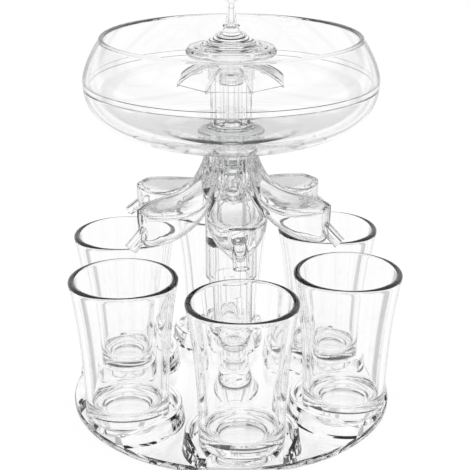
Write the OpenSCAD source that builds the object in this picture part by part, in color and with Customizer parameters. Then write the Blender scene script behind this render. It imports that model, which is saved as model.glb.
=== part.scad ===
// Party shot dispenser.
// A shallow clear bowl stands on a central column. A lift valve in the bowl
// opens a drain, and a manifold with six hollow petal spouts shares the drink
// out to six flared cups that stand in C-shaped seats on a round base.
// Millimetres, +Z up, origin at the centre of the base plate's underside.
// Cup 1 and spout 1 point along -Y; the others follow anticlockwise from above.

/* [Base] */
// Diameter of the round base plate
base_d = 139; // [137:1:141]
// Thickness of the base plate
base_t = 3; // [2.5:0.5:4]

/* [Cups] */
// Distance from the dispenser's axis to the centre of each cup
cup_ring_r = 52.9; // [52.5:0.1:53.5]
// Outer diameter of a cup at its rim
cup_rim_d = 45; // [42:0.5:46]
// Outer diameter of a cup just above its foot
cup_foot_d = 34.8; // [33:0.2:35.2]
// Height of a cup
cup_h = 64.6; // [58:0.2:66]
// Wall of a cup
cup_wall = 2.6; // [2:0.1:3]
// Thickness of a cup's heavy base
cup_base_t = 9; // [6:0.5:11]

/* [Seats] */
// Radial room between a cup and the inside of its seat wall
seat_room = 3.6; // [3.2:0.1:3.8]
// Thickness of a seat wall at its foot
seat_wall_t = 3.2; // [2.6:0.1:3.4]
// Height of a seat wall behind the cup
seat_h = 8.5; // [7:0.5:10]
// Height of a seat wall at its open ends
seat_end_h = 3.4; // [2.8:0.1:3.6]

/* [Column] */
// Outer diameter of the column under the manifold
column_d = 19; // [18:0.5:19.5]
// Wall of the column
column_wall = 1.8; // [1.5:0.1:2.4]

/* [Manifold] */
// Distance from the axis to the end wall of each spout
spout_reach = 43; // [42:0.1:44]
// Greatest width of a spout
spout_w = 24; // [22:0.2:25]
// Wall of a spout
spout_wall = 1.5; // [1.2:0.1:1.8]
// Diameter of the drain chamber inside the hub
drain_d = 12; // [10:0.5:13]

/* [Bowl] */
// Height of the bowl's underside above the table
bowl_z = 117.7; // [116.5:0.1:120]
// Greatest outer diameter of the bowl
bowl_d = 119.8; // [110:0.2:126]
// Height of the bowl's lower half
bowl_lower_h = 25.4; // [24:0.2:28]
// Height of the bowl's upper half
bowl_upper_h = 16.9; // [14:0.1:20]
// Outer diameter of the bowl's mouth
bowl_mouth_d = 104.6; // [100:0.2:106]
// Wall of the bowl
bowl_wall = 2; // [1.8:0.1:2.4]

/* [Valve] */
// Outer diameter of the guide tube that stands in the bowl
guide_d = 17; // [16.4:0.2:17.4]
// Diameter of the valve rod
rod_d = 4; // [3:0.2:5]
// Diameter of the rippled knob disc
knob_d = 36.8; // [30:0.2:40]

/* [Canopy] */
// Diameter across the tips of the canopy's ribs
canopy_d = 46; // [40:0.5:50]
// How far the rib tips hang below the canopy's crown
canopy_drop = 7; // [5:0.2:9]

/* [Hidden] */
$fn = 96;

step = 60;                       // angle between neighbouring cups
fit = 0.15;                      // radial clearance of a pushed-together joint
eps = 0.01;
clear_look = [0.86, 0.9, 0.92, 0.55];
seal_look = [0.8, 0.8, 0.78, 0.9];

base_r = base_d / 2;
base_edge = 1;                   // rounding of the base plate's edge

// Cup
rim_r = cup_rim_d / 2;
foot_r = cup_foot_d / 2;
flare = 2.4;                     // how late the cup's wall turns outward
heel_h = 4;                      // height of the rounded heel
heel_in = 1.3;                   // how far the heel draws in at the foot
punt_r = 9.4;                    // shallow hollow under the cup
punt_h = 1.2;
cup_fillet = 3;                  // rounding inside, at the floor

// Seat wall
seat_in_r = foot_r + seat_room;
seat_out_r = seat_in_r + seat_wall_t;
seat_taper = 1.2;                // the wall thins by this much toward its top
seat_sweep_from = 2;             // the top edge starts to fall this far outside the cup's centre
seat_top_round = 0.8;

// Column and its seat in the base
column_r = column_d / 2;
boss_h = 18.5;                   // the boss carries the column
boss_top_r = 8.6;
boss_foot_r = 15;
plug_r = 6.8;                    // column's bottom plug, held in the boss
plug_sink = 6.5;                 // how deep the plug sits in the boss
shoulder_gap = 2.3;              // plug showing between boss and column
shoulder_h = 6;                  // rounded lower end of the column
key_depth = 0.8;                 // bayonet key way cut into the column's face

// Manifold, measured down from the bowl's underside
gasket_t = 0.8;
hub_top = bowl_z - gasket_t;
neck_flange_r = 14;
neck_flange_t = 2;
neck_r = 10.5;
neck_low_r = 12;
neck_h = 17;                     // from the flange's underside to the neck's widest place
sleeve_r = column_r + 1.5;
sleeve_h = 24;                   // straight sleeve that takes the column
hub_h = 61.7;                    // from the bowl's underside to the sleeve's mouth
column_top = bowl_z - 45.7;      // the column ends here, against the hub's floor
drain_r = drain_d / 2;
drain_floor = bowl_z - 26;
drain_top = bowl_z - 14.7;
seat_bore_r = 4.4;
seat_z = bowl_z - 11.7;          // the seal lands here
guide_socket_z = bowl_z - 6;
port_r = 3;
port_z = bowl_z - 19;
port_fall = 11;                  // ports slope down by this angle
rib_n = 12;                      // ribs round the neck
rib_w = 1.8;
rib_out = 0.9;

// Spout, as heights below the bowl's underside
spout_root_r = 9.5;
spout_tip_top = 24;              // flat part of the spout's top
spout_shoulder = 19;             // it sweeps up this far more along the neck
spout_keel = 39.4;               // lowest line of the spout
spout_keel_rise = 14.5;          // the keel climbs this far to the root
spout_keel_from = 0.74;          // share of the length where the climb starts
spout_root_w = 10;
spout_end_w = 10.6;
spout_wide_at = 0.55;            // share of the length where it is widest
spout_belly = 0.86;              // height of the widest line, as a share
top_square = 5;                  // squareness of the section's upper half
keel_square = 2;               // and of its lower half
ring_n = 24;
nozzle_w = 6.4;
nozzle_t = 4.2;
nozzle_wall = 0.9;
nozzle_len = 12.3;
nozzle_in = 3.3;                 // its root lies this far inside the end wall
nozzle_drop = 30.7;              // height of its root below the bowl
nozzle_fall = 41;

// Bowl
bowl_r = bowl_d / 2;
mouth_r = bowl_mouth_d / 2;
bowl_flat_r = 9.5;               // flat middle of the bowl's underside
bowl_hole_r = guide_d / 2 + 0.4;
tongue_h = 2.2;                  // upper half's tongue inside the lower half
well_r = 28;                     // thicker floor under the guide tube
well_t = 1;
equator_z = bowl_z + bowl_lower_h;
floor_z = bowl_z + bowl_wall + well_t;

// Guide tube, collar and canopy
guide_r = guide_d / 2;
guide_wall = 1.6;
guide_top = bowl_z + 30.1;
guide_flange_r = 10.2;
guide_flange_t = 1.2;
inlet_w = 5;
inlet_h = 5;
collar_t = 2.2;
collar_r = guide_r + 1.3;
collar_sleeve_r = guide_r + 0.75;
collar_skirt = 5.2;
canopy_r = canopy_d / 2;
canopy_top = guide_top + 0.4;
canopy_t = 0.9;
canopy_n = 8;
canopy_turn = -7;                // the ribs' turn about the axis
canopy_rib_w = 1.1;
canopy_rib_h = 1.5;
scallop_r = 60;
scallop_in = 0.2;

// Valve
rod_r = rod_d / 2;
seal_r = 6;
seal_t = 1.2;
plug_top_r = 5.4;
plug_top_t = 2.8;
tip_r = 3.9;
tip_h = 4.5;
valve_sleeve_r = 4.6;
valve_sleeve_z = bowl_z + 8;
valve_sleeve_top = bowl_z + 23.1;
cap_r = 4.9;
cap_h = 3;
knob_z = bowl_z + 34.2;          // underside of the knob disc
knob_t = 4;
knob_r = knob_d / 2;
knob_cone_h = 7.3;
finial_z = knob_z + knob_t + knob_cone_h;
finial_neck_h = 9.4;
drop_r = 4.3;
drop_h = 8.6;

// ---------- curves ----------

// Outer radius of a cup at height h above its foot
function cup_out(h) = foot_r + (rim_r - foot_r) * pow(h / cup_h, flare)
    - heel_in * pow(max(0, 1 - h / heel_h), 2);

// Bowl halves: a quarter of a squarish oval below, a shorter one above
function bowl_low(a, in = 0) = [bowl_flat_r + (bowl_r - bowl_flat_r - in) * pow(cos(a), 0.8),
    equator_z - (bowl_lower_h - in) * pow(sin(a), 0.83)];
function bowl_high(t, in = 0) = [bowl_r - in - (bowl_r - mouth_r) * pow(t, 1.53),
    equator_z + bowl_upper_h * t];

// Spout: top line, keel line and half width at u, 0 at the root and 1 at the end wall
function spout_top(u) = bowl_z - spout_tip_top + spout_shoulder * exp(-7 * u);
function spout_low(u) = bowl_z - spout_keel
    + spout_keel_rise * pow(max(0, 1 - u / spout_keel_from), 1.5);
function spout_half(u) = u < spout_wide_at
    ? (spout_root_w + (spout_w - spout_root_w) * sin(90 * u / spout_wide_at)) / 2
    : (spout_w - (spout_w - spout_end_w) * pow((u - spout_wide_at) / (1 - spout_wide_at), 2)) / 2;
function signed_pow(v, e) = sign(v) * pow(abs(v), e);

// One section of the spout, set in from the outside by t and drawn in to the share s
function spout_ring(u, t, s) = let (
    r = spout_root_r + (spout_reach - t - spout_root_r) * u,
    top = spout_top(u) - t, low = spout_low(u) + t, half = spout_half(u) - t,
    mid = low + spout_belly * (top - low))
    [for (i = [0 : ring_n - 1]) let (a = 360 * i / ring_n, up = sin(a) > 0)
        [s * half * signed_pow(cos(a), 2 / (up ? top_square : keel_square)), -r,
         mid + s * (up ? top - mid : mid - low)
             * signed_pow(sin(a), 2 / (up ? top_square : keel_square))]];

// Rings from root to end wall; the last ones draw in to round the end's edge
spout_at = [for (i = [0 : 11]) [0.955 * i / 11, 1], [0.985, 0.955], [1, 0.85]];

// ---------- shared shapes ----------

module place(k) rotate([0, 0, step * (k - 1)]) children();

module loft(t) {
    rings = [for (q = spout_at) spout_ring(q[0], t, q[1])];
    n = len(rings);
    polyhedron(
        points = [for (ring = rings) for (p = ring) p],
        faces = concat(
            [[for (i = [0 : ring_n - 1]) i]],
            [[for (i = [ring_n - 1 : -1 : 0]) (n - 1) * ring_n + i]],
            [for (j = [0 : n - 2]) for (i = [0 : ring_n - 1]) let (k = (i + 1) % ring_n)
                [j * ring_n + k, j * ring_n + i, (j + 1) * ring_n + i]],
            [for (j = [0 : n - 2]) for (i = [0 : ring_n - 1]) let (k = (i + 1) % ring_n)
                [j * ring_n + k, (j + 1) * ring_n + i, (j + 1) * ring_n + k]]));
}

// Flattened tube section, w wide and t thick
module oval(w, t) {
    for (s = [-1, 1]) translate([s * (w - t) / 2, 0]) circle(d = t, $fn = 32);
    square([w - t, t], center = true);
}

module nozzle(cut = 0) {
    translate([0, -(spout_reach - nozzle_in), bowl_z - nozzle_drop])
        rotate([90 + nozzle_fall, 0, 0])
            translate([0, 0, cut > 0 ? -1 : 0])
                linear_extrude(nozzle_len + 2 * cut)
                    oval(nozzle_w - 2 * cut, nozzle_t - 2 * cut);
}

// Outside of the hub, solid
hub_low = bowl_z - hub_h;
neck_top = hub_top - neck_flange_t;
neck_low = neck_top - neck_h;
function neck_at(f) = [neck_r + (neck_low_r - neck_r) * pow(f, 2), neck_top - neck_h * f];

module hub_solid() {
    rotate_extrude() polygon(concat(
        [[0, hub_low], [sleeve_r - 0.5, hub_low], [sleeve_r, hub_low + 0.5],
         [sleeve_r, hub_low + sleeve_h], [neck_low_r, neck_low - 3]],
        [for (i = [8 : -1 : 0]) neck_at(i / 8)],
        [[neck_flange_r - 0.5, neck_top], [neck_flange_r, neck_top + 0.5],
         [neck_flange_r, hub_top - 0.4], [neck_flange_r - 0.4, hub_top], [0, hub_top]]));
}

// ---------- stand ----------

module base_plate() {
    color(clear_look) rotate_extrude($fn = 180) polygon(concat(
        [[0, 0]],
        [for (a = [-90 : 22.5 : 0]) [base_r - base_edge + base_edge * cos(a), base_edge + base_edge * sin(a)]],
        [for (a = [0 : 22.5 : 90])
            [base_r - base_edge + base_edge * cos(a), base_t - base_edge + base_edge * sin(a)]],
        [[0, base_t]]));
}

// Flared boss with a socket for the column's plug
module base_boss() {
    socket_z = base_t + boss_h - plug_sink;
    color(clear_look) difference() {
        rotate_extrude() polygon(concat(
            [[0, base_t], [boss_foot_r, base_t], [boss_foot_r, base_t + 0.6]],
            [for (i = [1 : 8]) let (f = i / 8)
                [boss_top_r + (boss_foot_r - boss_top_r) * pow(1 - f, 3), base_t + 0.6 + (boss_h - 1) * f]],
            [[boss_top_r - 0.4, base_t + boss_h], [0, base_t + boss_h]]));
        translate([0, 0, socket_z]) cylinder(r = plug_r + fit, h = plug_sink + 1);
    }
}

module seat_wall(k) {
    sweep_run = base_r - cup_ring_r - seat_sweep_from;
    sweep = atan((seat_h - seat_end_h) / sweep_run);
    color(clear_look) place(k) intersection() {
        difference() {
            translate([0, -cup_ring_r, base_t]) rotate_extrude() polygon([
                [seat_in_r, 0], [seat_out_r, 0],
                [seat_out_r - seat_taper, seat_h - seat_top_round],
                [seat_out_r - seat_taper - seat_top_round * 0.3, seat_h - seat_top_round * 0.3],
                [seat_out_r - seat_taper - seat_top_round, seat_h],
                [seat_in_r + 0.3, seat_h], [seat_in_r, seat_h - 0.3]]);
            translate([-base_r, -cup_ring_r - seat_sweep_from, base_t + seat_h])
                rotate([sweep, 0, 0]) translate([0, -base_r, 0]) cube([base_d, base_r, seat_h * 3]);
        }
        cylinder(r = base_r - 0.3, h = base_t + seat_h + 1, $fn = 180);
    }
}

// Tube with a rounded lower end, a plug below it and a bayonet key way in its face
module lower_column() {
    plug_z = base_t + boss_h - plug_sink;
    low = base_t + boss_h + shoulder_gap;
    key_top = hub_low + 3.5;
    color(clear_look) difference() {
        rotate_extrude() polygon(concat(
            [[0, plug_z], [plug_r - 0.5, plug_z], [plug_r, plug_z + 0.5], [plug_r, low]],
            [for (a = [0 : 15 : 90]) [plug_r + (column_r - plug_r) * sin(a), low + shoulder_h * (1 - cos(a))]],
            [[column_r, column_top], [column_r - column_wall, column_top],
             [column_r - column_wall, low + shoulder_h]],
            [for (a = [75 : -15 : 0]) [(column_r - column_wall) * sin(a),
                low + shoulder_h - (shoulder_h - 2.4) * cos(a)]]));
        // upright part of the key way, then its turned foot
        translate([-5.6, -column_r - 1, hub_low - 10]) cube([5.9, 1 + key_depth, 13.5]);
        translate([0.3 - eps, -column_r - 1, hub_low - 16]) cube([8, 1 + key_depth, 9.5]);
    }
}

// Ribs run down the neck, one on each side of every spout
module neck_ribs() {
    intersection() {
        rotate_extrude() polygon(concat(
            [[neck_r - 2, neck_low], [neck_low_r + rib_out, neck_low]],
            [for (i = [7 : -1 : 1]) neck_at(i / 8) + [rib_out, 0]],
            [[neck_r + 0.2, neck_top - 0.6], [neck_r - 2, neck_top - 0.6]]));
        for (i = [0 : rib_n / 2 - 1]) rotate([0, 0, (i + 0.5) * 360 / rib_n])
            translate([-rib_w / 2, -neck_flange_r * 2, neck_low - 1])
                cube([rib_w, neck_flange_r * 4, neck_h + 2]);
    }
}

module manifold_hub() {
    color(clear_look) difference() {
        union() {
            hub_solid();
            neck_ribs();
        }
        // socket for the column, closed above by the hub's floor
        translate([0, 0, hub_low - 1]) cylinder(r = column_r + fit, h = column_top - hub_low + 1);
        // drain chamber, valve seat, valve room and the guide tube's socket
        translate([0, 0, drain_floor]) cylinder(r = drain_r, h = drain_top - drain_floor);
        translate([0, 0, drain_top - eps]) cylinder(r = seat_bore_r, h = seat_z - drain_top + 2 * eps);
        translate([0, 0, seat_z]) cylinder(r = guide_r - guide_wall, h = hub_top - seat_z + 1);
        translate([0, 0, guide_socket_z]) cylinder(r = guide_r + fit, h = hub_top - guide_socket_z + 1);
        for (k = [1 : 6]) place(k) translate([0, 0, port_z]) rotate([90 + port_fall, 0, 0])
            cylinder(r = port_r, h = neck_low_r + 6, $fn = 40);
    }
}

module spout(k) {
    color(clear_look) place(k) difference() {
        union() {
            loft(0);
            nozzle();
        }
        loft(spout_wall);
        nozzle(cut = nozzle_wall);
        hub_solid();
        neck_ribs();
    }
}

// ---------- bowl ----------

module bowl_gasket() {
    color(seal_look) translate([0, 0, hub_top]) difference() {
        cylinder(r = neck_flange_r - 0.6, h = gasket_t);
        translate([0, 0, -1]) cylinder(r = guide_r + 0.3, h = gasket_t + 2);
    }
}

module bowl_lower() {
    n = 14;
    half = bowl_wall / 2;
    color(clear_look) rotate_extrude($fn = 180) polygon(concat(
        [[bowl_hole_r, bowl_z]],
        [for (i = [n : -1 : 0]) bowl_low(90 * i / n)],
        // rebate for the upper half's tongue
        [[bowl_r - half, equator_z], [bowl_r - half, equator_z - tongue_h], [bowl_r - bowl_wall, equator_z - tongue_h]],
        [for (i = [3 : n]) let (p = bowl_low(90 * i / n, bowl_wall)) if (p[0] > well_r + 1) p],
        // step up to the thicker floor
        [for (i = [n * 0.75 : 0.5 : n]) let (p = bowl_low(90 * i / n, bowl_wall + well_t)) if (p[0] < well_r) p],
        [[bowl_hole_r, floor_z]]));
}

module bowl_upper() {
    n = 8;
    half = bowl_wall / 2;
    lip_z = equator_z + bowl_upper_h - half;
    lip_t = (bowl_upper_h - half) / bowl_upper_h;
    color(clear_look) rotate_extrude($fn = 180) polygon(concat(
        [for (i = [0 : n]) bowl_high(lip_t * i / n)],
        [for (a = [30 : 30 : 150]) let (p = bowl_high(lip_t)) [p[0] - half + half * cos(a), lip_z + half * sin(a)]],
        [for (i = [n : -1 : 0]) bowl_high(lip_t * i / n, bowl_wall)],
        [[bowl_r - bowl_wall, equator_z - tongue_h], [bowl_r - half - fit, equator_z - tongue_h],
         [bowl_r - half - fit, equator_z]]));
}

// Tube with a clamping flange on the bowl's floor and four inlets just above it
module guide_tube() {
    color(clear_look) difference() {
        rotate_extrude() polygon([
            [guide_r - guide_wall, guide_socket_z], [guide_r, guide_socket_z], [guide_r, floor_z],
            [guide_flange_r, floor_z + 0.05], [guide_flange_r, floor_z + 0.6],
            [guide_flange_r - 0.6, floor_z + guide_flange_t], [guide_r, floor_z + guide_flange_t + 0.2],
            [guide_r, guide_top], [guide_r - guide_wall, guide_top]]);
        for (a = [45, 135]) rotate([0, 0, a]) translate([0, 0, floor_z + guide_flange_t + 0.8]) {
            translate([-inlet_w / 2, -guide_r - 2, 0]) cube([inlet_w, guide_d + 4, inlet_h - inlet_w / 2]);
            translate([0, guide_r + 2, inlet_h - inlet_w / 2]) rotate([90, 0, 0])
                cylinder(d = inlet_w, h = guide_d + 4, $fn = 32);
        }
    }
}

// Cap that fits over the guide tube's top and carries the canopy
module canopy_collar() {
    color(clear_look) rotate_extrude() polygon([
        [cap_r + 0.6, guide_top], [cap_r + 0.6, guide_top + collar_t - 0.3],
        [cap_r + 0.9, guide_top + collar_t], [collar_r - 0.4, guide_top + collar_t],
        [collar_r, guide_top + collar_t - 0.4], [collar_r, guide_top + collar_t - 1],
        [collar_sleeve_r, guide_top + collar_t - 1.4], [collar_sleeve_r, guide_top - collar_skirt],
        [guide_r + fit, guide_top - collar_skirt], [guide_r + fit, guide_top]]);
}

// Thin scalloped umbrella on eight curved ribs
function canopy_line(f, up) = [collar_sleeve_r + (canopy_r - collar_sleeve_r) * sin(90 * f) * (0.35 + 0.65 * f)
    , canopy_top - canopy_drop * pow(f, 1.7) + up];

module canopy() {
    n = 8;
    color(clear_look) rotate([0, 0, canopy_turn]) {
        difference() {
            rotate_extrude() polygon(concat(
                [for (i = [0 : n]) canopy_line(i / n, 0)],
                [for (i = [n : -1 : 0]) canopy_line(i / n, -canopy_t)]));
            for (i = [0 : canopy_n - 1]) rotate([0, 0, 360 / canopy_n * i])
                translate([0, -(canopy_r * cos(180 / canopy_n) - scallop_in + scallop_r), canopy_top - canopy_drop - 3])
                    cylinder(r = scallop_r, h = canopy_drop + 4);
        }
        for (i = [0 : canopy_n - 1]) rotate([0, 0, 360 / canopy_n * (i + 0.5)])
            rotate([90, 0, 0]) translate([0, 0, -canopy_rib_w / 2]) linear_extrude(canopy_rib_w)
                polygon(concat(
                    [for (i = [0 : n]) canopy_line(i / n, 0.25)],
                    [for (i = [n : -1 : 0]) canopy_line(i / n, 0.25 - canopy_rib_h)]));
    }
}

// ---------- lift valve ----------

module valve_seal() {
    color(seal_look) translate([0, 0, seat_z]) difference() {
        cylinder(r = seal_r, h = seal_t);
        translate([0, 0, -1]) cylinder(r = tip_r - 0.8, h = seal_t + 2);
    }
}

// Plug with a rounded tip that centres it in the drain
module valve_plug() {
    z = seat_z + seal_t;
    color(clear_look) rotate_extrude() polygon([
        [0, seat_z - tip_h], [1.8, seat_z - tip_h], [3, seat_z - tip_h + 0.7], [tip_r - 0.2, seat_z - tip_h + 2],
        [tip_r, seat_z - 0.6], [tip_r, seat_z], [tip_r - 0.8, seat_z], [tip_r - 0.8, z],
        [plug_top_r, z], [plug_top_r, z + plug_top_t - 0.8],
        [plug_top_r - 0.8, z + plug_top_t], [0, z + plug_top_t]]);
}

module valve_rod() {
    z = seat_z + seal_t + plug_top_t;
    color(clear_look) translate([0, 0, z]) cylinder(r = rod_r, h = knob_z - 1 - z, $fn = 48);
}

// Sleeve on the rod with a window in its face and a ribbed cap
module valve_sleeve() {
    color(clear_look) difference() {
        union() {
            translate([0, 0, valve_sleeve_z]) cylinder(r = valve_sleeve_r, h = valve_sleeve_top - valve_sleeve_z);
            translate([0, 0, valve_sleeve_top]) rotate_extrude() polygon([
                [0, 0], [cap_r, 0], [cap_r, cap_h - 0.8], [cap_r - 0.8, cap_h], [0, cap_h]]);
        }
        translate([0, 0, valve_sleeve_z - 1]) cylinder(r = rod_r, h = 40, $fn = 48);
        translate([0, 0, valve_sleeve_z - 1]) cylinder(r = valve_sleeve_r - 1.1, h = valve_sleeve_top - valve_sleeve_z);
        for (i = [0 : 23]) rotate([0, 0, 15 * i]) translate([cap_r, 0, valve_sleeve_top + 0.4])
            cylinder(r = 0.3, h = cap_h, $fn = 16);
    }
}

// Rippled disc whose face sweeps up into a short cone; f runs from its rim to its tip
function knob_face(f) = [knob_r - 1.1 - (knob_r - 4.1) * f,
    knob_z + knob_t - 0.4 + (knob_cone_h + 0.4) * pow(f, 1.9)];

module knob_disc() {
    ripples = [0.12, 0.31, 0.5];
    top = knob_z + knob_t;
    color(clear_look) difference() {
        union() {
            translate([0, 0, knob_z - 1]) cylinder(r = 5, h = 1 + eps);
            rotate_extrude() polygon(concat(
                [[0, knob_z]],
                [for (a = [-90 : 30 : 60]) [knob_r - 1.6 + 1.6 * cos(a), knob_z + 1.6 + 1.6 * sin(a)]],
                [for (i = [0 : 16]) knob_face(i / 16)],
                [[0, top + knob_cone_h]]));
        }
        for (f = ripples) rotate_extrude() translate([knob_face(f)[0], knob_face(f)[1] + 0.6])
            circle(r = 1.1, $fn = 24);
    }
}

// Ring, slender neck and drop-shaped finial
module knob_finial() {
    n = 10;
    color(clear_look) rotate_extrude() polygon(concat(
        [[0, finial_z], [3.3, finial_z], [3.5, finial_z + 0.5], [3.2, finial_z + 1]],
        [for (i = [0 : 5]) let (f = i / 5) [1.5 + 0.9 * pow(1 - f, 2), finial_z + 1.2 + (finial_neck_h - 1.4) * f]],
        [for (i = [1 : n]) let (a = 180 * i / n)
            [max(0, drop_r * pow(sin(a), 0.9) * (1 - 0.12 * cos(a))) * (i < n ? 1 : 0) + (i < 2 ? 0.6 : 0),
             finial_z + finial_neck_h + drop_h * (1 - cos(a)) / 2]]));
}

// ---------- cup ----------

module cup(k) {
    n = 14;
    m = 10;
    half = cup_wall / 2;
    lip_h = cup_h - half;
    low = cup_base_t + cup_fillet;
    color(clear_look) place(k) translate([0, -cup_ring_r, base_t]) rotate_extrude() polygon(concat(
        [[0, punt_h], [punt_r, punt_h], [punt_r + 1.2, 0]],
        [for (i = [0 : 4]) [cup_out(heel_h * i / 4), heel_h * i / 4]],
        [for (i = [1 : n]) let (h = heel_h + (lip_h - heel_h) * i / n) [cup_out(h), h]],
        [for (a = [30 : 30 : 150]) [cup_out(lip_h) - half + half * cos(a), lip_h + half * sin(a)]],
        [for (i = [m : -1 : 1]) let (h = low + (lip_h - low) * i / m) [cup_out(h) - cup_wall, h]],
        [for (a = [0 : 22.5 : 90]) [cup_out(low) - cup_wall - cup_fillet + cup_fillet * cos(a),
            low - cup_fillet * sin(a)]],
        [[0, cup_base_t]]));
}

base_plate();
base_boss();
seat_wall(1);  // seat_wall_1
seat_wall(2);  // seat_wall_2
seat_wall(3);  // seat_wall_3
seat_wall(4);  // seat_wall_4
seat_wall(5);  // seat_wall_5
seat_wall(6);  // seat_wall_6
lower_column();
manifold_hub();
spout(1);  // spout_1
spout(2);  // spout_2
spout(3);  // spout_3
spout(4);  // spout_4
spout(5);  // spout_5
spout(6);  // spout_6
bowl_gasket();
bowl_lower();
bowl_upper();
guide_tube();
canopy_collar();
canopy();
valve_seal();
valve_plug();
valve_rod();
valve_sleeve();
knob_disc();
knob_finial();
cup(1);  // cup_1
cup(2);  // cup_2
cup(3);  // cup_3
cup(4);  // cup_4
cup(5);  // cup_5
cup(6);  // cup_6
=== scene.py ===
# %% [markdown]
# # A clear party shot dispenser
# Six small cups stand in a ring on a round base. A column in the middle carries a
# six-spout manifold and a wide shallow bowl, and a knob in the bowl lifts the valve.
# Everything is colourless polished acrylic, so this lesson is about two things:
# clean turned and lofted surfaces, and a studio in which clear plastic can be seen.
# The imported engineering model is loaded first; every piece modelled here stands
# exactly where that model's pieces are.

# %% Load the fixed frame
import math
import bpy
from mathutils import Matrix


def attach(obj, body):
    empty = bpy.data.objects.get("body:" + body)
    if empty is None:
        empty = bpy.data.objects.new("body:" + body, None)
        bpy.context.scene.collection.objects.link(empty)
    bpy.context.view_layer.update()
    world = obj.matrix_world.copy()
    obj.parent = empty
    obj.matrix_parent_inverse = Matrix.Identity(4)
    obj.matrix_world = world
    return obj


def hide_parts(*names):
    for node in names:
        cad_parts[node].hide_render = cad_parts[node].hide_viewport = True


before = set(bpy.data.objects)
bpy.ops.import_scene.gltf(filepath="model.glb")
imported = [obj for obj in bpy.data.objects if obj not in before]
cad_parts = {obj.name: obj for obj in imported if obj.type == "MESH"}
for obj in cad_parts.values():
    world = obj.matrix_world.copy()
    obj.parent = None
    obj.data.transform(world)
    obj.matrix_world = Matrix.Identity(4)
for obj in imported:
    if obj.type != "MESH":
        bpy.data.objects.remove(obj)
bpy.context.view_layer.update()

# %% [markdown]
# ## Sizes
# All sizes are in millimetres and are the ones the engineering model uses, so that a
# piece modelled here fills the same space. `MM` turns them into metres. `HAIR` is a
# tiny air gap left between two clear pieces that touch: two clear surfaces in exactly
# the same place would confuse the light. `FIT` is the clearance, on the radius, of a
# part that slides into another. Names that end in `_r` are radii, in `_h` heights and
# in `_z` or `_top` places above the table.

# %% Sizes that several pieces share
MM = 0.001
HAIR = 0.03
FIT = 0.15
CUPS = 6
STEP = 2 * math.pi / CUPS
QUARTER = math.pi / 2

base_r, base_t = 69.5, 3.0
cup_ring_r = 52.9
column_r, column_top = 9.5, 72.0
bowl_z, bowl_wall = 117.7, 2.0
floor_z = bowl_z + bowl_wall + 1
hub_low, hub_top = bowl_z - 61.7, bowl_z - 0.8
guide_r, guide_top = 8.5, bowl_z + 30.1
knob_z = bowl_z + 34.2
print(f"bowl's foot at {bowl_z} mm, knob at {knob_z:.1f} mm, cups {cup_ring_r} mm from the axis")

# %% [markdown]
# ## Drawing half a section
# Most pieces here are round about an upright axis, so each one starts as half of its
# section, a list of points (distance from the axis, height). Two small helpers draw
# arcs and sampled curves, so that no section has to be typed point by point.

# %% Outline helpers
def arc(cx, cz, r, start, end, n):
    """Points on an arc; angles in degrees, 0 points away from the axis and 90 points up."""
    turns = [math.radians(start + (end - start) * i / n) for i in range(n + 1)]
    return [(cx + r * math.cos(t), cz + r * math.sin(t)) for t in turns]


def curve(f, n, start=0.0, end=1.0):
    """n + 1 points of the curve f between two values of its parameter."""
    return [f(start + (end - start) * i / n) for i in range(n + 1)]


# %% [markdown]
# ## Two ways to make a piece
# `lathe` works as on a wood lathe: a small plane is merged to a single point, the point
# is extruded along the section, and the section is spun once round. `wrap` takes a flat
# grid and lays its rows on a stack of closed rings, which makes the lofted spouts and
# anything else that is not round. Both merge doubled points and turn the faces outward.

# %% Edit mode in and out
SAME_POINT = 0.0005         # points of one section closer than this are one corner
SAME_CORNER = 0.003         # and so are corners of the finished mesh
SMOOTH_BELOW = 30           # degrees: flatter edges than this are shaded smooth


def select_only(obj):
    bpy.ops.object.select_all(action="DESELECT")
    bpy.context.view_layer.objects.active = obj
    obj.select_set(True)


def open_edit(obj):
    select_only(obj)
    bpy.ops.object.mode_set(mode="EDIT")
    bpy.ops.mesh.select_mode(type="VERT")
    bpy.ops.mesh.select_all(action="SELECT")


def close_edit(obj):
    bpy.ops.mesh.select_all(action="SELECT")
    bpy.ops.mesh.remove_doubles(threshold=SAME_CORNER * MM)
    bpy.ops.mesh.normals_make_consistent(inside=False)
    bpy.ops.object.mode_set(mode="OBJECT")
    bpy.ops.object.shade_smooth_by_angle(angle=math.radians(SMOOTH_BELOW))
    return obj


# %% The lathe
def lathe(name, outline, steps=144, at_y=0.0):
    """Spin half a section about the upright line through (0, at_y)."""
    bpy.ops.object.select_all(action="DESELECT")
    bpy.ops.mesh.primitive_plane_add(size=MM)
    obj = bpy.context.object
    obj.name = name
    open_edit(obj)
    bpy.ops.mesh.merge(type="CENTER")
    r, z = outline[0]
    bpy.ops.transform.translate(value=(r * MM, at_y * MM, z * MM))
    solid = outline[0][0] == 0 and outline[-1][0] == 0       # both ends on the axis: closed already
    for here, there in zip(outline, outline[1:] + ([] if solid else outline[:1])):
        move = ((there[0] - here[0]) * MM, 0, (there[1] - here[1]) * MM)
        bpy.ops.mesh.extrude_vertices_move(TRANSFORM_OT_translate={"value": move})
    bpy.ops.mesh.select_all(action="SELECT")
    bpy.ops.mesh.remove_doubles(threshold=SAME_POINT * MM)
    bpy.ops.mesh.spin(steps=steps, angle=2 * math.pi, center=(0, at_y * MM, 0), axis=(0, 0, 1))
    return close_edit(obj)


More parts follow.
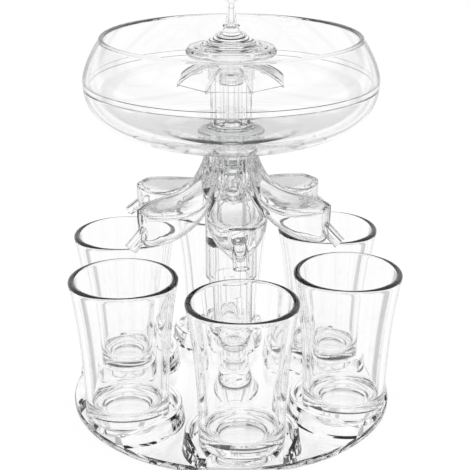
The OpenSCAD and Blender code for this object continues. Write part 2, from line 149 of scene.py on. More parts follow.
# %% The wrapped grid
def wrap(name, rings, round_again=False):
    """Lay a grid on closed rings of points, one row to a ring, and cap or join its ends."""
    rows = rings + rings[:1] if round_again else rings
    across, along = len(rows[0]), len(rows) - 1
    bpy.ops.object.select_all(action="DESELECT")
    bpy.ops.mesh.primitive_grid_add(x_subdivisions=across, y_subdivisions=along, size=MM)
    obj = bpy.context.object
    obj.name = name
    flat = [c * MM for row in rows for point in row + row[:1] for c in point]
    obj.data.vertices.foreach_set("co", flat)
    open_edit(obj)
    bpy.ops.mesh.remove_doubles(threshold=SAME_POINT * MM)
    if not round_again:
        bpy.ops.mesh.fill_holes(sides=0)
    return close_edit(obj)


# %% Cutting, joining and repeating
def combine(obj, tool, operation="DIFFERENCE"):
    """Cut a piece with another, or join them, by an applied boolean; the tool is used up."""
    cut = obj.modifiers.new("cut", "BOOLEAN")
    cut.operation, cut.object, cut.solver = operation, tool, "EXACT"
    select_only(obj)
    bpy.ops.object.modifier_apply(modifier=cut.name)
    bpy.data.objects.remove(tool)
    open_edit(obj)
    return close_edit(obj)


def copy_round(obj, stem):
    """Copies of the front piece at the five other places, each with a mesh of its own."""
    pieces = [obj]
    for k in range(2, CUPS + 1):
        other = obj.copy()
        other.data = obj.data.copy()
        other.name = f"{stem}_{k}"
        other.data.transform(Matrix.Rotation(STEP * (k - 1), 4, "Z"))
        bpy.context.collection.objects.link(other)
        pieces.append(other)
    return pieces


# %% [markdown]
# ## Clear acrylic
# Moulded acrylic is never optically perfect. One node group gives every clear part the
# same two flaws at its own strength: a slow swell from the cooling mould, which bends
# what is seen through it a little, and small changes of polish. A Flow below 1 draws
# the swell out into upright streaks, as where the plastic was pressed through a narrow
# neck. The shader itself stays in each material: full transmission and the index of
# acrylic.

# %% Moulding flaws, shared by every part
POLISH_SCALE, POLISH_LOW, POLISH_HIGH = 420.0, 0.4, 0.75        # the noise that changes the polish


def build_flaws():
    group = bpy.data.node_groups.new("moulding_flaws", "ShaderNodeTree")
    inputs = {"Swell Scale": 60.0, "Swell Height": 0.2, "Flow": 1.0, "Polish": 0.0, "Haze": 0.02}
    number = "NodeSocketFloat"
    for name, value in inputs.items():
        socket = group.interface.new_socket(name=name, in_out="INPUT", socket_type=number)
        socket.default_value = value
    for name in ("Height", "Roughness"):
        group.interface.new_socket(name=name, in_out="OUTPUT", socket_type=number)
    nodes, links = group.nodes, group.links
    given, out = nodes.new("NodeGroupInput"), nodes.new("NodeGroupOutput")
    place = nodes.new("ShaderNodeTexCoord")
    # the swell: a slow noise on stretched coordinates
    flow, drawn = nodes.new("ShaderNodeCombineXYZ"), nodes.new("ShaderNodeVectorMath")
    swell, scaled = nodes.new("ShaderNodeTexNoise"), nodes.new("ShaderNodeMath")
    flow.inputs["X"].default_value = flow.inputs["Y"].default_value = 1.0
    drawn.operation = scaled.operation = "MULTIPLY"
    swell.inputs["Detail"].default_value = 1.0
    links.new(given.outputs["Flow"], flow.inputs["Z"])
    links.new(place.outputs["Object"], drawn.inputs[0])
    links.new(flow.outputs["Vector"], drawn.inputs[1])
    links.new(drawn.outputs["Vector"], swell.inputs["Vector"])
    links.new(given.outputs["Swell Scale"], swell.inputs["Scale"])
    links.new(swell.outputs["Fac"], scaled.inputs[0])
    links.new(given.outputs["Swell Height"], scaled.inputs[1])
    links.new(scaled.outputs[0], out.inputs["Height"])
    # the polish: a fine noise spread between two roughnesses
    fine, span = nodes.new("ShaderNodeTexNoise"), nodes.new("ShaderNodeMapRange")
    fine.inputs["Scale"].default_value = POLISH_SCALE
    span.inputs["From Min"].default_value = POLISH_LOW
    span.inputs["From Max"].default_value = POLISH_HIGH
    links.new(place.outputs["Object"], fine.inputs["Vector"])
    links.new(fine.outputs["Fac"], span.inputs["Value"])
    links.new(given.outputs["Polish"], span.inputs["To Min"])
    links.new(given.outputs["Haze"], span.inputs["To Max"])
    links.new(span.outputs["Result"], out.inputs["Roughness"])
    return group


flaws = build_flaws()
print("shared group:", flaws.name)


# %% One material that uses the flaws
def moulded(name, depth, strengths):
    """A new material whose shader gets the flaws as bump, depth metres deep, and roughness."""
    mat = bpy.data.materials.new(name)
    mat.use_nodes = True
    nodes, links = mat.node_tree.nodes, mat.node_tree.links
    shader = nodes["Principled BSDF"]
    flaw, bump = nodes.new("ShaderNodeGroup"), nodes.new("ShaderNodeBump")
    flaw.node_tree = flaws
    for socket, value in strengths.items():
        flaw.inputs[socket].default_value = value
    bump.inputs["Distance"].default_value = depth
    links.new(flaw.outputs["Height"], bump.inputs["Height"])
    links.new(bump.outputs["Normal"], shader.inputs["Normal"])
    links.new(flaw.outputs["Roughness"], shader.inputs["Roughness"])
    return mat, shader


# %% [markdown]
# Two more things make plastic read as plastic. Where a wall turns edge-on, a ramp on
# Layer Weight paints shade into its colour: from a facing that each finish sets, the
# colour falls from white to a grey that each finish also sets. This painted dark edge
# stands in for the dark surroundings that an edge-on wall bends into view. And lamps see
# a plain clear sheet instead of the real shader, so that the walls let their light pass
# and the shadow on the table stays soft.

# %% A clear material with its own strength of flaws and of painted edge shade
ACRYLIC_INDEX, ACRYLIC_HAZE, SWELL_DEPTH = 1.49, 0.012, 0.0005
EDGE_ON = 0.99                              # Facing at which the ramp has reached its dark end
SHEET_COLOUR = (0.94, 0.945, 0.95, 1)


def clear_acrylic(name, swell=60.0, height=0.1, flow=1.0, edge=0.7, painted_shade_from=0.85):
    mat, shader = moulded(name, SWELL_DEPTH, {"Swell Scale": swell, "Swell Height": height,
                                              "Flow": flow, "Haze": ACRYLIC_HAZE})
    nodes, links = mat.node_tree.nodes, mat.node_tree.links
    shader.inputs["Transmission Weight"].default_value = 1.0
    shader.inputs["IOR"].default_value = ACRYLIC_INDEX
    # painted shade: the colour turns grey where the wall is seen edge-on
    facing, ramp = nodes.new("ShaderNodeLayerWeight"), nodes.new("ShaderNodeValToRGB")
    face_on, painted_shade_stop = ramp.color_ramp.elements
    face_on.position, painted_shade_stop.position = painted_shade_from, EDGE_ON
    face_on.color, painted_shade_stop.color = (1, 1, 1, 1), (edge, edge, edge, 1)
    links.new(facing.outputs["Facing"], ramp.inputs["Fac"])
    links.new(ramp.outputs["Color"], shader.inputs["Base Color"])
    # a plain clear sheet for the lamps
    light, sheet = nodes.new("ShaderNodeLightPath"), nodes.new("ShaderNodeBsdfTransparent")
    mix = nodes.new("ShaderNodeMixShader")
    sheet.inputs["Color"].default_value = SHEET_COLOUR
    links.new(light.outputs["Is Shadow Ray"], mix.inputs["Fac"])
    links.new(shader.outputs["BSDF"], mix.inputs[1])
    links.new(sheet.outputs["BSDF"], mix.inputs[2])
    links.new(mix.outputs["Shader"], nodes["Material Output"].inputs["Surface"])
    return mat


# %% The eight clear finishes
# edge and the facing value with it set each finish's painted edge shade: how dark the colour is
# painted edge-on, and from which facing it starts
clear_finishes = {
    "base_clear": dict(swell=25, height=0.05, edge=1.0),
    "column_clear": dict(edge=0.1, painted_shade_from=0.75),
    "manifold_clear": dict(swell=180, height=0.2, flow=0.25, edge=0.0, painted_shade_from=0.5),
    "bowl_clear": dict(swell=30, height=0.06),
    "guide_clear": dict(edge=0.1, painted_shade_from=0.75),
    "canopy_clear": dict(edge=0.0, painted_shade_from=0.8),
    "valve_clear": dict(swell=90, edge=0.4),
    "cup_clear": dict(swell=45, height=0.06, edge=0.1, painted_shade_from=0.8),
}
finish = {name: clear_acrylic(name, **values) for name, values in clear_finishes.items()}

# %% [markdown]
# The two seals are silicone: soft, milky and a little rough, so light scatters inside
# them instead of passing straight through.

# %% Silicone
SEAL_DEPTH, SEAL_COLOUR, SEAL_SCATTER = 0.0003, (0.84, 0.85, 0.85, 1), 0.002


def silicone(name):
    mat, shader = moulded(name, SEAL_DEPTH, {"Swell Scale": 300, "Polish": 0.35, "Haze": 0.55})
    shader.inputs["Base Color"].default_value = SEAL_COLOUR
    shader.inputs["Subsurface Weight"].default_value = 0.3
    shader.inputs["Subsurface Radius"].default_value = (SEAL_SCATTER, SEAL_SCATTER, SEAL_SCATTER)
    return mat


finish["silicone"] = silicone("silicone")
print("finishes:", sorted(finish))


# %% Handing a piece over to the frame
def hand_over(piece, body, slot, *nodes):
    """Give a piece its finish, let it ride on its body and stand for its nodes."""
    piece.data.materials.clear()
    piece.data.materials.append(finish[slot])
    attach(piece, body)
    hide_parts(*nodes)
    print(f"{piece.name}: {len(piece.data.polygons)} faces on {body}")


# %% [markdown]
# ## Base plate and boss
# A thick clear disc with softly rounded edges, and a flared boss in its middle that
# takes the plug at the column's foot. The photograph shows nothing of the boss but the
# two rings at its top, so the rest is the plainest shape that would hold a column.
# Plate, boss and seat walls are one moulding. They are joined into one mesh, because a
# gap between two clear pieces acts as a mirror and would blacken their feet; each part
# is sunk `SINK` into the plate first, which gives the boolean a clean crossing.

# %% Base plate
base_round = 1
disc = lathe("base_moulding",
             [(0, 0)] + arc(base_r - base_round, base_round, base_round, -90, 0, 7)
             + arc(base_r - base_round, base_t - base_round, base_round, 0, 90, 7) + [(0, base_t)],
             steps=256)
print("plate:", tuple(disc.dimensions))

# %% Boss
SINK = 0.4
plug_r, boss_top_r, boss_foot_r, boss_h, socket_h = 6.8, 8.6, 15.0, 18.5, 6.5
boss_round, boss_step, socket_bevel = 0.5, 0.6, 0.35
boss_low, boss_high = base_t - SINK, base_t + boss_h
socket_z = boss_high - socket_h


def boss_side(f):
    """The boss's flare, from its foot (0) to where its top edge is rounded (1)."""
    climb = boss_h - boss_step - boss_round
    return (boss_top_r + (boss_foot_r - boss_top_r) * (1 - f) ** 3, base_t + boss_step + climb * f)


boss = lathe("base_socket",
             [(0, boss_low), (boss_foot_r, boss_low)] + curve(boss_side, 24)
             + arc(boss_top_r - boss_round, boss_high - boss_round, boss_round, 0, 90, 4)
             + [(plug_r + FIT + socket_bevel, boss_high), (plug_r + FIT, boss_high - socket_bevel),
                (plug_r + FIT, socket_z), (0, socket_z)])
combine(disc, boss, "UNION")

# %% [markdown]
# ## Seat walls
# Each cup stands inside a C-shaped wall that opens outward. The wall follows a circle
# round the cup's own centre and is cut off by the edge of the base, and its top edge
# sweeps down to its two ends. One section is drawn, then carried along the arc: every
# point of it stops where its own circle meets the edge of the base.

# %% One seat wall
seat_in_r, seat_out_r, seat_h, seat_end_h = 21.0, 24.2, 8.5, 3.4
seat_slope, seat_out_round, seat_in_round = 1.2, 0.8, 0.4
seat_top = base_t + seat_h
seat_section = ([(seat_in_r, base_t - SINK), (seat_out_r, base_t - SINK)]
                + arc(seat_out_r - seat_slope - seat_out_round, seat_top - seat_out_round,
                      seat_out_round, 0, 90, 6)
                + arc(seat_in_r + seat_in_round, seat_top - seat_in_round,
                      seat_in_round, 90, 180, 4))


def seat_ring(t, edge_r=base_r - 0.35, fall_from=2.0):
    """The section at t, from -1 at one end of the arc to 1 at the other."""
    ring = []
    for r, z in seat_section:
        reach = math.pi - math.acos((edge_r ** 2 - cup_ring_r ** 2 - r ** 2) / (2 * cup_ring_r * r))
        out = -r * math.cos(reach * t)                       # how far outside the cup's centre
        fall = max(0.0, out - fall_from) / (base_r - cup_ring_r - fall_from) * (seat_h - seat_end_h)
        lowered = z - fall * max(0.0, z - base_t) / seat_h
        ring.append((r * math.sin(reach * t), -cup_ring_r - out, lowered))
    return ring


half_steps = 60
wall = wrap("seat_rim_1", [seat_ring(i / half_steps - 1) for i in range(2 * half_steps + 1)])
for piece in copy_round(wall, "seat_rim"):
    combine(disc, piece, "UNION")
seat_nodes = [f"seat_wall_{k}" for k in range(1, CUPS + 1)]
hand_over(disc, "stand", "base_clear", "base_plate", "base_boss", *seat_nodes)

# %% [markdown]
# ## Column
# A tube with a rounded lower end and a plug under it. A bayonet key way, an upright
# slot with a foot that turns to one side, is milled into its face below the manifold.

# %% Column
column_wall, column_round, hollow_round = 1.8, 6, 3.6
column_low = boss_high + 2.3
inner_r = column_r - column_wall


def column_end(f):
    """The tube's rounded lower end, from the plug (0) to its straight side (1)."""
    return (plug_r + (column_r - plug_r) * math.sin(f * QUARTER),
            column_low + column_round * (1 - math.cos(f * QUARTER)))


def column_hollow(f):
    """The round end of its hollow, from the straight side (0) to the axis (1)."""
    return (inner_r * math.cos(f * QUARTER),
            column_low + column_round - hollow_round * math.sin(f * QUARTER))


column = lathe("column_tube",
               [(0, socket_z + HAIR), (plug_r - 0.5, socket_z + HAIR), (plug_r, socket_z + 0.5),
                (plug_r, column_low)]
               + curve(column_end, 14)
               + [(column_r, column_top - 0.5), (column_r - 0.3, column_top - HAIR),
                  (inner_r, column_top - HAIR), (inner_r, column_low + column_round)]
               + curve(column_hollow, 14)[1:-1]
               + [(0, column_low + column_round - hollow_round)])


# %% Key way
def milled_box(x0, x1, z0, z1, deep=0.8, size=10):
    """A box-shaped cutter that reaches deep into the column's face."""
    middle = ((x0 + x1) / 2 * MM, -(column_r - deep + size / 2) * MM, (z0 + z1) / 2 * MM)
    bpy.ops.object.select_all(action="DESELECT")
    bpy.ops.mesh.primitive_cube_add(size=1, location=middle)
    tool = bpy.context.object
    tool.scale = ((x1 - x0) * MM, size * MM, (z1 - z0) * MM)
    bpy.ops.object.transform_apply(location=True, rotation=True, scale=True)
    return tool


slot_left, slot_right, slot_low, slot_high = -5.6, 0.3, hub_low - 10, hub_low + 3.5
foot_left, foot_right, foot_low, foot_high = 0.2, 8.3, hub_low - 16, hub_low - 6.5
combine(column, milled_box(slot_left, slot_right, slot_low, slot_high))
combine(column, milled_box(foot_left, foot_right, foot_low, foot_high))
hand_over(column, "stand", "column_clear", "lower_column")

# %% [markdown]
# ## Manifold hub
# The hub is a sleeve for the column below, a drain chamber in the middle and a waisted
# neck with twelve raised ribs above. It is turned first. The ribs are then drawn out of
# the neck by moving each point of it outward where a rib runs, and six sloping ports are
# drilled from the chamber towards the spouts.

# %% Turned hub
neck_top, neck_h, neck_r, neck_low_r = hub_top - 2, 17.0, 10.5, 12.0
neck_low = neck_top - neck_h
flange_r, flange_low, flange_up = 14.0, 0.5, 0.4            # its bevels below and above
sleeve_r, sleeve_top, sleeve_bevel = 11.0, hub_low + 24, 0.5
swell_top = neck_low - 3                    # the sleeve widens to the neck up to here
drain_r, drain_low, drain_high = 6.0, bowl_z - 26, bowl_z - 14.7
guide_bore_r = guide_r - 1.6
seat_bore_r, seat_z, guide_socket_z = 4.4, bowl_z - 11.7, bowl_z - 6


def hub_skin(out=0.0):
    """Outside of the hub from its mouth up to its flange, grown by out."""
    def shoulder(f):
        return (sleeve_r + (neck_low_r - sleeve_r) * f + out,
                sleeve_top + (swell_top - sleeve_top) * f)

    def waist(f):
        return (neck_r + (neck_low_r - neck_r) * f ** 2 + out, neck_top - neck_h * f)

    return ([(sleeve_r - sleeve_bevel + out, hub_low - out),
             (sleeve_r + out, hub_low + sleeve_bevel), (sleeve_r + out, sleeve_top)]
            + curve(shoulder, 8)[1:] + curve(waist, 34, 1, 0)
            + [(flange_r - flange_low + out, neck_top), (flange_r + out, neck_top + flange_low),
               (flange_r + out, hub_top - flange_up), (flange_r - flange_up + out, hub_top)])


hub = lathe("manifold_core",
            [(0, column_top), (column_r + FIT, column_top), (column_r + FIT, hub_low)]
            + hub_skin()
            + [(guide_r + FIT, hub_top), (guide_r + FIT, guide_socket_z),
               (guide_bore_r, guide_socket_z), (guide_bore_r, seat_z), (seat_bore_r, seat_z),
               (seat_bore_r, drain_high), (drain_r, drain_high), (drain_r, drain_low),
               (0, drain_low)],
            steps=240)


# %% Ribs on the neck
neck_ribs, rib_h, rib_half_w, rib_fade = 12, 0.9, 0.9, 1.5


def raise_ribs(obj, height, half_width, margin=0.3):
    """Move the neck's outer points outward along its upright ribs, which fade out at both ends."""
    for v in obj.data.vertices:
        x, y, z = (c / MM for c in v.co)
        r = math.hypot(x, y)
        if r < neck_r - margin or not neck_low - 0.01 < z < neck_top - margin:
            continue
        turn = math.atan2(y, x) / (2 * math.pi) * neck_ribs - 0.5
        off = abs(turn - round(turn)) * 2 * math.pi * r / neck_ribs         # from the rib's middle
        ends = min(1.0, (z - neck_low) / rib_fade, (neck_top - margin - z) / rib_fade)
        lift = height * max(0.0, 1 - (off / half_width) ** 4) * max(0.0, ends)
        v.co.x, v.co.y = (c * (r + lift) / r * MM for c in (x, y))


raise_ribs(hub, rib_h, rib_half_w)


# %% Drilled ports
port_r, port_depth, port_z, port_fall = 3, 20, bowl_z - 19, math.radians(11)


def drill(obj, k):
    """One port, from the drain chamber outward and down towards spout k."""
    azimuth, along = STEP * (k - 1), port_depth / 2
    middle = (along * math.sin(azimuth) * MM, -along * math.cos(azimuth) * MM,
              (port_z - along * math.tan(port_fall)) * MM)
    bpy.ops.object.select_all(action="DESELECT")
    bpy.ops.mesh.primitive_cylinder_add(vertices=48, radius=port_r * MM, depth=port_depth * MM,
                                        location=middle, rotation=(QUARTER + port_fall, 0, azimuth))
    combine(obj, bpy.context.object)


for k in range(1, CUPS + 1):
    drill(hub, k)
hand_over(hub, "stand", "manifold_clear", "manifold_hub")

# %% [markdown]
# ## Petal spouts
# This is the hard piece. A spout is a hollow petal: narrow where it leaves the neck,
# widest past its middle, with a flat-topped section, a keel that climbs back to the
# root and a plain end wall with a small oval nozzle under it. Three curves drive it,
# its top line, its keel line and its half width, and every section between them is a
# superellipse. The same loft, set in by the wall's thickness, is the hollow.

# %% The petal's three curves, from its root (u = 0) to its end wall (u = 1)
spout_root_r, spout_reach, spout_wall = 9.5, 43.0, 1.5
top_end_z, top_rise, top_decay = bowl_z - 24, 19, 7
keel_end_z, keel_rise, keel_level_from = bowl_z - 39.4, 14.5, 0.74
root_w, widest_w, widest_at, end_narrowing = 10, 24, 0.55, 13.4


def petal_top(u):
    return top_end_z + top_rise * math.exp(-top_decay * u)


def petal_keel(u):
    return keel_end_z + keel_rise * max(0.0, 1 - u / keel_level_from) ** 1.5


def petal_half(u):
    if u < widest_at:
        return (root_w + (widest_w - root_w) * math.sin(QUARTER * u / widest_at)) / 2
    return (widest_w - end_narrowing * ((u - widest_at) / (1 - widest_at)) ** 2) / 2


# %% One section of the petal
widest_share = 0.86                         # how far up the section its widest line lies
flat_power, keel_power = 5, 2               # a flat top with rounded corners, a round keel


def signed_power(value, power):
    return math.copysign(abs(value) ** power, value)


def petal_ring(u, inset, share, points=64):
    """The superellipse at u, set in by inset and drawn together to a share of its size."""
    r = spout_root_r + (spout_reach - inset - spout_root_r) * u
    top, low, half = petal_top(u) - inset, petal_keel(u) + inset, petal_half(u) - inset
    middle = low + widest_share * (top - low)
    ring = []
    for i in range(points):
        c, s = math.cos(2 * math.pi * i / points), math.sin(2 * math.pi * i / points)
        bend = 2 / (flat_power if s > 0 else keel_power)
        rise = (top - middle if s > 0 else middle - low) * signed_power(s, bend)
        ring.append((share * half * signed_power(c, bend), -r, middle + share * rise))
    return ring


END_ROUND = [(0.968, 0.985), (0.98, 0.962), (0.99, 0.925), (0.997, 0.88), (1.0, 0.83)]  # u, share


def petal(name, inset, straight_to=0.955, steps=34):
    """The whole petal; its last sections draw in to round the edge of the end wall."""
    stations = [(straight_to * i / steps, 1.0) for i in range(steps + 1)] + END_ROUND
    return wrap(name, [petal_ring(u, inset, share) for u, share in stations])


# %% Oval nozzle
nozzle_y, nozzle_z, nozzle_fall = -(spout_reach - 3.3), bowl_z - 30.7, math.radians(41)


def oval_tube(name, width, thick, start, end, points=40, steps=6):
    """A flattened tube that falls outward from under the end wall."""
    side = width / 2 - thick / 2
    turns = [2 * math.pi * (i + 0.5) / points for i in range(points)]
    profile = [(math.copysign(side, math.cos(t)) + thick / 2 * math.cos(t), thick / 2 * math.sin(t))
               for t in turns]
    c, s = math.cos(nozzle_fall), math.sin(nozzle_fall)
    rings = []
    for along in (start + (end - start) * i / steps for i in range(steps + 1)):
        y, z = nozzle_y - along * c, nozzle_z - along * s
        rings.append([(a, y - b * s, z + b * c) for a, b in profile])
    return wrap(name, rings)


# %% The spout
spout = petal("petal_spout_1", 0.0)
combine(spout, oval_tube("nozzle", width=6.4, thick=4.2, start=0, end=12.3), "UNION")
combine(spout, petal("hollow", spout_wall))
combine(spout, oval_tube("nozzle_bore", width=4.6, thick=2.4, start=-0.9, end=13.5))
hub_mould = lathe("hub_mould", [(0, hub_low - 1)] + hub_skin(HAIR) + [(0, hub_top + 1)], steps=240)
raise_ribs(hub_mould, rib_h + HAIR, rib_half_w + HAIR)
combine(spout, hub_mould)
for k, piece in enumerate(copy_round(spout, "petal_spout"), 1):
    hand_over(piece, "stand", "manifold_clear", f"spout_{k}")

# %% [markdown]
# ## Bowl
# The bowl is made of two shells that meet at the widest line: the upper one has a
# tongue that drops inside the lower one, and that joint draws the two fine lines seen
# round the bowl. Both are turned, with many points so that the thin walls refract
# evenly. A silicone gasket lies between the bowl and the manifold's flange.

# %% Bowl curves
bowl_r, mouth_r, bowl_foot_r, lower_h, upper_h = 59.9, 52.3, 9.5, 25.4, 16.9
equator_z = bowl_z + lower_h
out_power, down_power = 0.8, 0.83           # the lower side is fuller than an ellipse
up_power = 1.53                             # the upper side leans in more and more


def bowl_low(f, inset=0.0):
    """The lower shell's side, from the widest line (0) to the bowl's foot (1)."""
    a = f * QUARTER
    return (bowl_foot_r + (bowl_r - bowl_foot_r - inset) * max(0.0, math.cos(a)) ** out_power,
            equator_z - (lower_h - inset) * math.sin(a) ** down_power)


def bowl_high(f, inset=0.0):
    """The upper shell's side, from the widest line (0) to the mouth (1)."""
    return (bowl_r - inset - (bowl_r - mouth_r) * f ** up_power, equator_z + upper_h * f)


# %% Lower half
hole_r, well_r, well_step, well_slope = guide_r + 0.4, 28.0, 1, 5       # the floor is thicker here
tongue_h, tongue_r = 2.2, bowl_r - 1
shell_steps = 72
inside = [(r, z) for r, z in curve(lambda f: bowl_low(f, bowl_wall), shell_steps)
          if z < equator_z - tongue_h and r > well_r + 0.8]
well = [(r, z) for r, z in curve(lambda f: bowl_low(f, bowl_wall + well_step), shell_steps)
        if guide_r + 1.2 < r < well_r - well_slope]
lower = lathe("bowl_base",
              [(hole_r, bowl_z)] + curve(bowl_low, shell_steps, 1, 0.0)
              + [(tongue_r, equator_z), (tongue_r, equator_z - tongue_h),
                 (bowl_r - bowl_wall, equator_z - tongue_h)]
              + inside + well + [(hole_r, floor_z)],
              steps=256)
hand_over(lower, "stand", "bowl_clear", "bowl_lower")

# %% Upper half
lip_round = 1
lip_f = (upper_h - lip_round) / upper_h
lip_r, lip_z = bowl_high(lip_f)[0] - lip_round, equator_z + upper_h - lip_round
upper = lathe("bowl_top",
              [(bowl_r - 0.02, equator_z + HAIR)] + curve(bowl_high, 40, 0.02, lip_f)
              + arc(lip_r, lip_z, lip_round, 10, 170, 10)
              + curve(lambda f: bowl_high(f, bowl_wall), 40, lip_f, 0)
              + [(bowl_r - bowl_wall, equator_z - tongue_h + HAIR),
                 (tongue_r - FIT, equator_z - tongue_h + HAIR), (tongue_r - FIT, equator_z + HAIR)],
              steps=256)
hand_over(upper, "stand", "bowl_clear", "bowl_upper")

# %% Gasket
gasket_in_r, gasket_round = guide_r + 0.3, 0.37
gasket = lathe("bowl_seal",
               [(gasket_in_r, hub_top + HAIR)]
               + arc(flange_r - 1, hub_top + HAIR + gasket_round, gasket_round, -90, 90, 8)
               + [(gasket_in_r, bowl_z - HAIR)])
hand_over(gasket, "stand", "silicone", "bowl_gasket")

# %% [markdown]
# ## Guide tube, collar and canopy
# A tube stands in the bowl, clamps its floor with a flange and keeps the valve upright.
# The drink enters through four arched inlets just above the flange, which are cut with
# arch-shaped tools. A collar on the tube's top carries a thin eight-sided umbrella with
# eight curved ribs, which keeps fruit and ice away from the valve.

# %% Guide tube
clamp_r, clamp_h, clamp_round, clamp_fillet = 10.2, 1.2, 0.6, 0.3
tube = lathe("guide_post",
             [(guide_bore_r, guide_socket_z + HAIR), (guide_r, guide_socket_z + HAIR),
              (guide_r, floor_z + HAIR), (clamp_r, floor_z + 0.05)]
             + arc(clamp_r - clamp_round, floor_z + clamp_h - clamp_round, clamp_round, 0, 90, 5)
             + arc(guide_r + clamp_fillet, floor_z + clamp_h + clamp_fillet,
                   clamp_fillet, -90, -180, 4)
             + [(guide_r, guide_top - 0.3), (guide_r - 0.3, guide_top - HAIR),
                (guide_bore_r, guide_top - HAIR)],
             steps=192)

# %% Arched inlets
inlet_half_w, inlet_low, inlet_reach = 2.5, floor_z + 2.6, guide_r + 2
for turn in (45, 135):                      # one cutter goes through both sides of the tube
    arch = ([(-inlet_half_w, inlet_low), (inlet_half_w, inlet_low)]
            + arc(0, inlet_low + inlet_half_w, inlet_half_w, 0, 180, 16))
    c, s = math.cos(math.radians(turn)), math.sin(math.radians(turn))
    slot = wrap("arch", [[(a * c - y * s, a * s + y * c, z) for a, z in arch]
                         for y in (-inlet_reach, 0, inlet_reach)])
    combine(tube, slot)
hand_over(tube, "stand", "guide_clear", "guide_tube")

# %% Collar
cap_r, collar_r, skirt_r, skirt_h = 4.9, guide_r + 1.3, guide_r + 0.75, 5.2
collar_h, collar_round, collar_bevel = 2.2, 0.4, 0.3
collar_hole_r, collar_top = cap_r + 0.6, guide_top + collar_h
collar = lathe("tube_collar",
               [(collar_hole_r, guide_top), (collar_hole_r, collar_top - collar_bevel),
                (collar_hole_r + collar_bevel, collar_top)]
               + arc(collar_r - collar_round, collar_top - collar_round, collar_round, 90, 0, 5)
               + [(collar_r, guide_top + 1.2), (skirt_r, guide_top + 0.8),
                  (skirt_r, guide_top - skirt_h), (guide_r + FIT, guide_top - skirt_h),
                  (guide_r + FIT, guide_top)])
hand_over(collar, "stand", "guide_clear", "canopy_collar")

# %% Canopy
canopy_r, canopy_top, canopy_drop, canopy_t, canopy_ribs = 23.0, guide_top + 0.4, 7.0, 0.9, 8
canopy_turn = 22.5 - 7                      # degrees by which the ribs are turned from the front
rib_half_deg, rib_above, rib_below = 2, 0.4, 0.8
rim_thinning = 0.7                          # the share of its thickness lost towards the rim
early_spread, droop_power = 0.35, 1.7       # how soon it spreads out, and how late it falls


def canopy_ring(theta, steps=20):
    """The umbrella's section at one azimuth: out along the top, back along the underside."""
    turn = theta / (2 * math.pi) * canopy_ribs
    off = abs(turn - round(turn)) * 2 * math.pi / canopy_ribs       # angle from the nearest rib
    gore = math.cos(math.pi / canopy_ribs) / math.cos(math.pi / canopy_ribs - off)
    rib = max(0.0, 1 - (off / math.radians(rib_half_deg)) ** 2) ** 0.5
    start, points = skirt_r + HAIR, []
    for above in (True, False):
        for i in range(steps + 1):
            f = i / steps if above else 1 - i / steps
            reach = math.sin(QUARTER * f) * (early_spread + (1 - early_spread) * f)
            sheet = canopy_t * (1 - rim_thinning * f ** 3)
            face = rib_above * rib if above else -(sheet + rib_below * rib)
            flat = 1 + (gore - 1) * min(1.0, 3 * reach)             # an octagon with a round hole
            points.append(((start + (canopy_r - start) * reach) * flat,
                           canopy_top - canopy_drop * f ** droop_power + face))
    a = theta + math.radians(canopy_turn)
    return [(r * math.sin(a), -r * math.cos(a), z) for r, z in points]


rib_degs = [-2, -1.95, -1.8, -1.5, -1, -0.5, 0, 0.5, 1, 1.5, 1.8, 1.95, 2]      # close over a rib
gore_deg, gore_steps = 360 / canopy_ribs - 2 * rib_half_deg, 20
gore_degs = [rib_half_deg + gore_deg * i / gore_steps for i in range(1, gore_steps)]
across = [math.radians(a) for a in rib_degs + gore_degs]
canopy = wrap("umbrella", [canopy_ring(2 * math.pi * n / canopy_ribs + a)
                           for n in range(canopy_ribs) for a in across], round_again=True)
hand_over(canopy, "stand", "canopy_clear", "canopy")

# %% [markdown]
# ## Lift valve
# Seal, plug, rod, sleeve, knob disc and finial are one body that slides up by 10 mm. All
# are turned. The disc has three ripples for the fingers and sweeps up into a cone, and
# the finial is a slender neck under a drop.

# %% Seal, plug and rod
seal_in_r, seal_out_r, seal_t, seal_round = 3.1, 5.7, 1.2, 0.4
plug_low, plug_top, rod_r, knob_boss_h = seat_z - 4.5, seat_z + 4.0, 2, 1
nose_r, nose_round, stem_r, head_r, head_round = 1.9, 1.8, 3.9, 5.4, 0.8
seal = lathe("valve_washer",
             [(seal_in_r + HAIR, seat_z + HAIR), (seal_out_r, seat_z + HAIR)]
             + arc(seal_out_r - 0.1, seat_z + seal_t / 2, seal_round, -60, 60, 6)
             + [(seal_out_r, seat_z + seal_t - HAIR), (seal_in_r + HAIR, seat_z + seal_t - HAIR)])
hand_over(seal, "valve", "silicone", "valve_seal")
stopper = lathe("valve_stopper",
                [(0, plug_low), (nose_r - 0.1, plug_low)]
                + arc(nose_r, plug_low + nose_round, nose_round, -80, -5, 8)
                + [(stem_r, seat_z - 0.6), (stem_r, seat_z - HAIR), (seal_in_r, seat_z - HAIR),
                   (seal_in_r, seat_z + seal_t), (head_r, seat_z + seal_t),
                   (head_r, plug_top - head_round)]
                + arc(head_r - head_round, plug_top - head_round, head_round, 10, 90, 5)
                + [(0, plug_top)])
hand_over(stopper, "valve", "valve_clear", "valve_plug")
rod_low, rod_top = plug_top + HAIR, knob_z - knob_boss_h - HAIR
rod = lathe("valve_stem", [(0, rod_low), (rod_r, rod_low), (rod_r, rod_top), (0, rod_top)],
            steps=96)
hand_over(rod, "valve", "valve_clear", "valve_rod")

